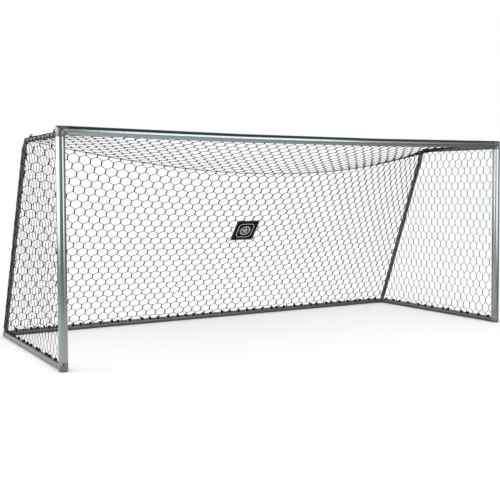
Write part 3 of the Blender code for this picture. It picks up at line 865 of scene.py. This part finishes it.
def wound_cord(path, radius, period, phase, seed):
    """A cord's line as it winds round a tube, tighter in some places than in others."""
    centres, along, marks = resampled(path, 0.006)
    uneven = np.array([noise.noise(Vector((mark * 9, seed, 0.3))) for mark in marks])
    turn = 2 * np.pi * marks / period + phase + 1.2 * uneven
    stand = radius + 0.0015 * (1 + np.sin(turn * 0.37 + seed))
    return centres + stand[:, None] * round_tube(along, turn)


def straight_cord(path, radius, angle, seed):
    """A cord's line that runs beside a tube at a set angle round it, swaying a little."""
    centres, along, marks = resampled(path, 0.012)
    sway = np.array([noise.noise(Vector((mark * 14, seed, 0.7))) for mark in marks])
    return centres + radius * round_tube(along, angle + 0.5 * sway)


def build_lacing():
    """Cords that lace the nets' edges to the upper side tubes and to the stanchions."""
    wound, straight = SIDE_R + 0.003, SIDE_R + 0.004
    for label, side in SIDES.items():
        front, bend, foot = side_points(side)
        fall = (foot - bend).normalized()
        path = bent_path(front, bend, foot - fall * COLLAR_HEIGHT, ARCH_BEND, 12)
        top = path[:-1]
        down = path[-2:]
        lines = [
            wound_cord(top, wound, 0.135, 0.0, 1.0),
            wound_cord(down, wound, 0.105, 0.6, 3.0),
            wound_cord(down, wound + 0.0005, -0.19, 2.2, 4.0),
        ]
        outward, rearward = math.pi / 2 - side * math.pi / 2, math.pi / 2
        for i, share in enumerate((-0.1, 0.35)):
            lines.append(straight_cord(top, straight, lerp(rearward, outward, share), 5.0 + i))
        for i, angle in enumerate((outward, outward - side * math.pi / 4, rearward)):
            lines.append(straight_cord(down, straight, angle, 9.0 + i))
        shape = Shape()
        for line in lines:
            sweep_cord(shape, line, BORDER_R, 6, ASKEW)
        shape.piece(f"net_lacing_{label}", TWINE, "net", sharp=180)


def knot_line(centre, size, along):
    """A small tight overhand knot as a line of points, lying across the direction along."""
    turn = np.linspace(0, 2 * np.pi, 40)
    across = np.cross(along, Z_AXIS)
    loop = np.sin(turn) + 2 * np.sin(2 * turn)
    rise = np.cos(turn) - 2 * np.cos(2 * turn)
    depth = -np.sin(3 * turn)
    knot = np.outer(loop, across) + np.outer(rise, Z_AXIS) + 1.4 * np.outer(depth, along)
    return np.array(centre) + size / 3 * knot


def build_knots():
    """Knots that end the lacing of the upper side tubes, each with two cut tails that stand up."""
    for label, side in SIDES.items():
        front, bend, _ = side_points(side)
        along = (bend - front).normalized()
        length = (bend - front).length
        shape = Shape()
        for i, share in enumerate(KNOT_SHARES):
            aside = X_AXIS * side * 0.006 * math.sin(5 * i)
            centre = front + along * share * length + Z_AXIS * (SIDE_R + 0.007) + aside
            sweep_cord(shape, knot_line(centre, 0.0075, along), KNOT_R, 6, ASKEW)
            for tail in (-1, 1):
                forward = tail * (0.35 + 0.25 * math.cos(2.3 * i))
                lean = Vector((0.3 * math.sin(3.1 * i + tail), forward, 1))
                reach = 0.016 + 0.012 * abs(math.sin(1.9 * i + tail))
                t = np.linspace(0, 1, 6)
                curve = np.outer(reach * t, lean.normalized()) + np.outer(0.006 * tail * t**2, along)
                sweep_cord(shape, np.array(centre) + curve, KNOT_R, 6, ASKEW)
        shape.piece(f"net_knots_{label}", TWINE, "net", sharp=180)


def build_borders():
    """Border cords that rise between the hooks of the base tubes, and cords in the profiles' grooves."""
    x = np.linspace(REAR_HOOKS[0] - 0.03, REAR_HOOKS[-1] + 0.03, 560)
    line = points(x, REAR_Y - 0.008, BORDER_Z + border_lift(x, REAR_HOOKS))
    cord_piece("net_border_rear", line, BORDER_R)
    for label, side in SIDES.items():
        y = np.linspace(SIDE_HOOKS[0] - 0.04, SIDE_HOOKS[-1] + 0.03, 220)
        line = points(side * (POST_X - 0.006), y, BORDER_Z + border_lift(y, SIDE_HOOKS))
        cord_piece(f"net_border_{label}", line, BORDER_R)
        z = np.linspace(FOOT_HEIGHT + 0.01, POST_TOP - 0.01, 200)
        sway = 0.0012 * np.sin(z * 60)
        groove = points(side * POST_X + sway, FRONT_Y + PROFILE_R - 0.0065, z)
        cord_piece(f"net_groove_{label}", groove, 0.0022)


def round_base(angle, radius):
    """A (rearward, up) point round the base tube, measured from the tube's top."""
    return radius * math.sin(angle), radius * math.cos(angle) - BASE_R


def hook_mesh():
    """A moulded net clip for a tube along X whose top is at the origin: a saddle under an open C."""
    shape = Shape()
    bends = [lerp(-HOOK_SADDLE, HOOK_SADDLE, step / 10) for step in range(11)]
    over = [round_base(a, BASE_R + HOOK_WALL * math.cos(a)) for a in bends]
    under = [round_base(a, BASE_R + 0.0002) for a in reversed(bends)]
    extrude(shape, over + under)
    middle = HOOK_R - HOOK_WALL / 2
    turns = [math.radians(-75 + 285 * step / 20) for step in range(21)]
    outer = [around((0, middle), HOOK_R, a) for a in turns]
    inner = [around((0, middle), HOOK_R - HOOK_WALL, a) for a in reversed(turns)]
    extrude(shape, outer + inner)
    return outward_mesh("net_hook", shape.verts, shape.faces, HOOK, 40)


def extrude(shape, outline):
    """A clip's wall: an outline of (y, z) points drawn out along X, with its ends eased."""
    half, ease = HOOK_WIDTH / 2, 0.0006
    mean_y = sum(y for y, _ in outline) / len(outline)
    mean_z = sum(z for _, z in outline) / len(outline)
    rings = []
    for x, size in ((-half, 0.985), (ease - half, 1.0), (half - ease, 1.0), (half, 0.985)):
        rings.append([(x, lerp(mean_y, y, size), lerp(mean_z, z, size)) for y, z in outline])
    shape.rings(rings)


def build_hooks():
    data = hook_mesh()
    places = []
    for i, x in enumerate(REAR_HOOKS):
        places.append((f"net_hook_rear_{i:02d}", Vector((x, REAR_Y, 0)), 0.0, 0.3))
    for label, side in SIDES.items():
        for i, y in enumerate(SIDE_HOOKS):
            spot = Vector((side * POST_X, y, 0))
            places.append((f"net_hook_{label}_{i:02d}", spot, math.copysign(math.pi / 2, -side), 0.25))
    for name, spot, turn, tip in places:
        hook = add_object(name, data)
        axis = Matrix.Translation(spot + Z_AXIS * BASE_Z) @ Matrix.Rotation(turn, 4, "Z")
        hook.matrix_world = axis @ Matrix.Rotation(tip, 4, "X") @ Matrix.Translation((0, 0, BASE_R))
        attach(hook, "frame")


# Patch

CLOTH_HALF = 0.0008
PRINT_THICK = 0.0006


def patch_place():
    """The patch's middle, its upward and forward directions, and its width and height."""
    low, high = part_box("net_patch")
    slope = Vector((0, low.y - high.y, high.z - low.z))
    rise = slope.normalized()
    return (low + high) / 2, rise, rise.cross(-X_AXIS), high.x - low.x, slope.length


def on_patch(x, up, ahead=0.0):
    """A point of the cloth, x and up in metres from its middle: it bows forward and its edges pull in."""
    middle, rise, forward, width, height = patch_place()
    u, v = x / width, up / height
    bow = 0.004 * math.cos(math.pi * u) * math.cos(math.pi * v)
    pull = 0.005 * (1 - 4 * u * u) * math.copysign((2 * v) ** 2, v)
    squeeze = 0.004 * (1 - 4 * v * v) * math.copysign((2 * u) ** 2, u)
    return middle + X_AXIS * (x - squeeze) + rise * (up - pull) + forward * (bow + ahead)


def between(one, two, t):
    return lerp(one[0], two[0], t), lerp(one[1], two[1], t)


def ribbon(shape, line, width, thick, endless=False):
    """A flat band on the cloth's front along (x, up) points."""
    count = len(line)
    rings = []
    for i, (x, up) in enumerate(line):
        before = line[i - 1] if i or endless else line[0]
        after = line[(i + 1) % count] if i < count - 1 or endless else line[-1]
        across = Vector((before[1] - after[1], after[0] - before[0])).normalized() * width / 2
        ends = [(x - across.x, up - across.y), (x + across.x, up + across.y)]
        one, two = (on_patch(*end, CLOTH_HALF) for end in ends)
        far_one, far_two = (on_patch(*end, CLOTH_HALF + thick) for end in ends)
        rings.append([one, two, far_two, far_one])
    shape.rings(rings, endless=endless)


def rectangle_line(half_width, half_height, corner, steps=6, side_steps=14):
    """A rounded rectangle's outline as (x, up) points."""
    signs = ((1, 1), (-1, 1), (-1, -1), (1, -1))
    middles = [(sx * (half_width - corner), sy * (half_height - corner)) for sx, sy in signs]
    line = []
    for quarter, middle in enumerate(middles):
        turns = [math.pi / 2 * (quarter + step / steps) for step in range(steps + 1)]
        line += [around(middle, corner, angle) for angle in turns]
        begin = line[-1]
        end = around(middles[(quarter + 1) % 4], corner, turns[-1])
        line += [between(begin, end, step / side_steps) for step in range(1, side_steps)]
    return line


def build_patch_cloth(width, height):
    """The cloth: a front and a back layer of points, joined round their rim."""
    shape = Shape()
    across, upward = 32, 26
    row = across + 1
    layer = row * (upward + 1)
    for ahead in (CLOTH_HALF, -CLOTH_HALF):
        for j in range(upward + 1):
            for i in range(row):
                x, up = (i / across - 0.5) * width, (j / upward - 0.5) * height
                shape.verts.append(tuple(on_patch(x, up, ahead)))
    for j in range(upward):
        for i in range(across):
            a = j * row + i
            b, c, d = a + 1, a + row + 1, a + row
            shape.faces.append((a, b, c, d))
            shape.faces.append((layer + d, layer + c, layer + b, layer + a))
    rim = list(range(across)) + [across + j * row for j in range(upward)]
    rim += [upward * row + i for i in range(across, 0, -1)] + [j * row for j in range(upward, 0, -1)]
    for one, two in zip(rim, rim[1:] + rim[:1]):
        shape.faces.append((one, layer + one, layer + two, two))
    return shape.piece("net_patch_cloth", CLOTH, "patch", replaces=["net_patch"])


def build_patch_hem(width, height):
    """A folded hem with a row of stitches along its inner side."""
    inset = 0.006
    shape = Shape()
    edge = rectangle_line(width / 2 - inset, height / 2 - inset, 0.006)
    ribbon(shape, edge, 0.012, 0.0009, True)
    hem = shape.piece("net_patch_hem", CLOTH, "patch")
    stitches = Shape()
    line = rectangle_line(width / 2 - 0.0135, height / 2 - 0.0135, 0.004, 3, 40)
    for one, two in zip(line, line[1:] + line[:1]):
        if math.dist(one, two) > 0.002:
            ribbon(stitches, [between(one, two, t) for t in (0.12, 0.5, 0.8)], 0.0009, PRINT_THICK)
    return [hem, stitches.piece("net_patch_stitches", THREAD, "patch")]


def build_patch_mark(width, height):
    """A plain ball inside a rounded frame: its outline, its middle panel and the seams between them."""
    shape = Shape()
    outline = rectangle_line(0.33 * width, 0.33 * height, 0.16 * height)
    ribbon(shape, outline, 0.007, PRINT_THICK, True)
    size = 0.2 * height
    inner = 0.5 * size
    ring = [around((0, 0), size, 2 * math.pi * i / 60) for i in range(60)]
    ribbon(shape, ring, 0.011, PRINT_THICK, True)
    corners = [math.pi / 2 + 2 * math.pi * i / 5 for i in range(5)]
    tips = [around((0, 0), 0.5 * inner, angle) for angle in corners]
    panel = []
    for one, two in zip(tips, tips[1:] + tips[:1]):
        panel += [between(one, two, step / 6) for step in range(6)]
    ribbon(shape, panel, 0.9 * inner, PRINT_THICK, True)
    for angle in corners:
        seam = [around((0, 0), lerp(inner, size, step / 6), angle) for step in range(7)]
        ribbon(shape, seam, 0.009, PRINT_THICK)
    return shape.piece("net_patch_mark", THREAD, "patch")


def build_patch_ties(width, height):
    """An eyelet in each corner and the cord loop that ties it to the net."""
    pieces = []
    _, _, forward, _, _ = patch_place()
    for i, (sx, sy) in enumerate(((-1, -1), (1, -1), (-1, 1), (1, 1))):
        x, up = sx * (width / 2 - 0.012), sy * (height / 2 - 0.012)
        centre = on_patch(x, up, 0.001)
        shape = Shape()
        radial = []
        for step in range(28):
            out = around((x, up), 0.01, 2 * math.pi * step / 28)
            radial.append((on_patch(*out, 0.001) - centre).normalized())
        section = [(0.0045, 0.0), (0.0052, 0.0016), (0.0072, 0.0016), (0.0082, 0.0), (0.0063, -0.0006)]
        rings = [[centre + way * out + forward * high for out, high in section] for way in radial]
        shape.rings(rings, endless=True)
        pieces.append(shape.piece(f"net_patch_eyelet_{i}", ZINC, "patch"))
        outer = on_patch(x + sx * 0.022, up + sy * 0.018, -0.01)
        loop = []
        for step in range(26):
            angle = 2 * math.pi * step / 24
            swing = (outer - centre) * (0.5 - 0.5 * math.cos(angle))
            loop.append(tuple(centre + swing + forward * (0.006 * math.sin(angle) - 0.001)))
        pieces.append(cord_piece(f"net_patch_tie_{i}", np.array(loop), 0.0015, "patch", 8))
    return pieces


def build_patch():
    _, _, _, width, height = patch_place()
    cloth = build_patch_cloth(width, height)
    extras = build_patch_hem(width, height)
    extras.append(build_patch_mark(width, height))
    extras += build_patch_ties(width, height)


# Stage

CAMERA_PLACE = (-4.5057, -7.4087, 1.4549)
CAMERA_TURN = (29.207, 2.412, -0.32)
CAMERA_LENS = 58.97
CAMERA_SHIFT = (0.0408, -0.0468)
SKY_STRENGTH = 1.53
SKY_UP = [(-1.0, 0.2), (0.0, 0.2), (1.0, 1.0)]
FLOOR_MIDDLE = (-2.6, 0.3, 0.0)
FLOOR_NEAR = (3.0, 0.9)
FLOOR_FAR = (7.5, 0.25)
FLOOR_BOUNCE = 0.55
ROOM_STRENGTH = 1.6
ROOM_ACROSS = [(-1.0, 1.0), (-0.73, 0.88), (-0.57, 0.58), (-0.17, 0.28), (0.3, 0.2), (1.0, 0.35)]
ROOM_UP = [(-0.2, 0.6), (0.0, 1.0), (0.4, 0.6), (0.75, 0.2), (1.0, 0.12)]
ROOM_BEHIND = [(-1.0, 0.0), (0.3, 0.0), (0.8, 0.5), (1.0, 0.5)]

# Each light's place, target, size, radiance, and whether reflections see it.
LIGHTS = {
    "front_softbox": ((2.05, -6.0, 2.65), (2.05, 0, 2.65), (4.7, 4.5), 3.0, True),
    "left_softbox": ((-6.0, -0.7, 2.4), (0, -0.7, 2.4), (5.6, 3.2), 3.4, True),
    "right_softbox": ((5.5, -6.0, 2.65), (5.5, 0, 2.65), (2.1, 4.5), 0.6, True),
    "left_fill": ((-4.6, -0.4, 1.5), (-2.5, 0.1, 0), (1.4, 3.4), 1.3, False),
    "front_fill": ((1.5, -5.0, 4.0), (1.0, -1.5, 0), (5.0, 3.0), 0.6, False),
}


def mixed(tree, share, one, two):
    """A shader that goes from the first to the second as the share goes from 0 to 1."""
    mix = tree.nodes.new("ShaderNodeMixShader")
    for source, socket in zip((share, one, two), mix.inputs):
        tree.links.new(source, socket)
    return mix.outputs["Shader"]


def by_ray(tree, camera, mirror, other):
    """One shader for what the camera sees, one for reflections and one for all other light."""
    path = new_node(tree, "LightPath")
    unseen = mixed(tree, path.outputs["Is Glossy Ray"], other, mirror)
    return mixed(tree, path.outputs["Is Camera Ray"], unseen, camera)


def floor_material():
    """Pale paper; reflections see it darken away from its middle, and other light sees it dim."""
    made = bpy.data.materials.new("floor_paper")
    made.use_nodes = True
    tree = made.node_tree
    tree.nodes.clear()
    place = new_node(tree, "TexCoord").outputs["Object"]
    reach = new_node(tree, "VectorMath", {0: place}, operation="LENGTH")
    inputs = {
        "Value": reach.outputs["Value"],
        "From Min": FLOOR_NEAR[0],
        "From Max": FLOOR_FAR[0],
        "To Min": FLOOR_NEAR[1],
        "To Max": FLOOR_FAR[1],
    }
    fade = new_node(tree, "MapRange", inputs).outputs["Result"]
    colours = (*grey(0.9), 1), fade, (*grey(FLOOR_BOUNCE), 1)
    papers = [new_node(tree, "BsdfDiffuse", {"Color": colour}).outputs["BSDF"] for colour in colours]
    new_node(tree, "OutputMaterial", {"Surface": by_ray(tree, *papers)})
    return made


def build_floor():
    data = bpy.data.meshes.new("floor")
    reach = 60
    corners = [(-reach, -reach, 0), (reach, -reach, 0), (reach, reach, 0), (-reach, reach, 0)]
    data.from_pydata(corners, [], [(0, 1, 2, 3)])
    data.materials.append(floor_material())
    floor = add_object("floor", data)
    floor.location = FLOOR_MIDDLE


def ramp_node(tree, source, stops):
    """A colour ramp of greys over a value from -1 to 1."""
    unit = new_node(tree, "MapRange", {"Value": source, "From Min": -1})
    ramp = new_node(tree, "ValToRGB", {"Fac": unit.outputs["Result"]})
    elements = ramp.color_ramp.elements
    while len(elements) < len(stops):
        elements.new(0.5)
    for element, (place, level) in zip(elements, stops):
        element.position = (place + 1) / 2
        element.color = (*grey(level), 1)
    return ramp.outputs["Color"]


def combined(tree, way, one, two):
    """Two colours, multiplied or added."""
    inputs = {"Factor": 1, "A": one, "B": two}
    return new_node(tree, "Mix", inputs, data_type="RGBA", blend_type=way).outputs["Result"]


def build_world():
    """White for the camera; reflections see a studio, and other light a sky that is dim below."""
    world = bpy.data.worlds.new("studio")
    bpy.context.scene.world = world
    world.use_nodes = True
    tree = world.node_tree
    tree.nodes.clear()
    place = new_node(tree, "TexCoord").outputs["Generated"]
    x, y, z = new_node(tree, "SeparateXYZ", {"Vector": place}).outputs
    walls = combined(tree, "MULTIPLY", ramp_node(tree, x, ROOM_ACROSS), ramp_node(tree, z, ROOM_UP))
    room = combined(tree, "ADD", walls, ramp_node(tree, y, ROOM_BEHIND))
    skies = [((1, 1, 1, 1), 1), (room, ROOM_STRENGTH), (ramp_node(tree, z, SKY_UP), SKY_STRENGTH)]
    shades = []
    for colour, strength in skies:
        sky = new_node(tree, "Background", {"Color": colour, "Strength": strength})
        shades.append(sky.outputs["Background"])
    new_node(tree, "OutputWorld", {"Surface": by_ray(tree, *shades)})


def soft_light(name, place, target, size, radiance, mirrored):
    """A softbox that the camera doesn't see: either only reflections see it, or it only lights softly."""
    data = bpy.data.lights.new(name, "AREA")
    data.shape = "RECTANGLE"
    data.size, data.size_y = size
    data.energy = radiance * math.pi * size[0] * size[1]
    light = add_object(name, data)
    light.location = place
    light.rotation_euler = (Vector(target) - Vector(place)).to_track_quat("-Z", "Y").to_euler()
    light.visible_camera = False
    light.visible_diffuse = not mirrored
    light.visible_glossy = mirrored


def build_camera():
    """A product photograph's camera: before the goal's left, turned to the right and almost level."""
    data = bpy.data.cameras.new("camera")
    data.sensor_width = 36
    data.lens = CAMERA_LENS
    data.shift_x, data.shift_y = CAMERA_SHIFT
    camera = add_object("camera", data)
    yaw, pitch, roll = (math.radians(angle) for angle in CAMERA_TURN)
    level = Matrix.Rotation(-yaw, 4, "Z") @ Matrix.Rotation(math.pi / 2 - pitch, 4, "X")
    camera.matrix_world = Matrix.Translation(CAMERA_PLACE) @ level @ Matrix.Rotation(roll, 4, "Z")
    bpy.context.scene.camera = camera


bpy.context.scene.view_settings.view_transform = "Standard"
build_camera()
build_world()
build_floor()
for name, facts in LIGHTS.items():
    soft_light(name, *facts)
build_profiles()
build_tubes()
build_corners()
build_feet()
build_elbows()
build_screws()
build_buttons()
build_net()
build_lacing()
build_knots()
build_borders()
build_hooks()
build_patch()
dress_sleeves()
